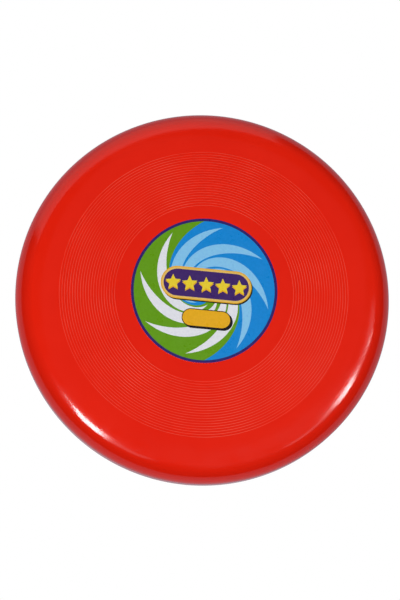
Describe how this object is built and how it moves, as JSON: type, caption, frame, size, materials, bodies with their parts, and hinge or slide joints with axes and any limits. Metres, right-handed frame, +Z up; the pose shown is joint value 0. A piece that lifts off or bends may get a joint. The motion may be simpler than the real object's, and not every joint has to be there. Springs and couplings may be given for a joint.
{
  "type": "flying disc",
  "caption": "Round moulded plastic throwing disc, hollow underneath, with a rounded shoulder, a rolled rim lip, fine flight rings and a round printed label on top.",
  "frame": {"origin": "on the ground under the disc's centre, as it lies on its rim", "axes": "+Z up along the disc's axis of spin, out of the labelled face; +Y towards the top of the label's print"},
  "size_m": [0.23, 0.23, 0.0251],
  "materials": {
    "disc_plastic": "glossy red polyethylene",
    "adhesive": "clear pressure-sensitive adhesive, hidden under the film",
    "label_print": "gloss film printed in blue, green, white, purple and yellow"
  },
  "bodies": {
    "root": {"disc": "disc_plastic", "label_adhesive": "adhesive", "label_film": "label_print"}
  },
  "joints": []
}
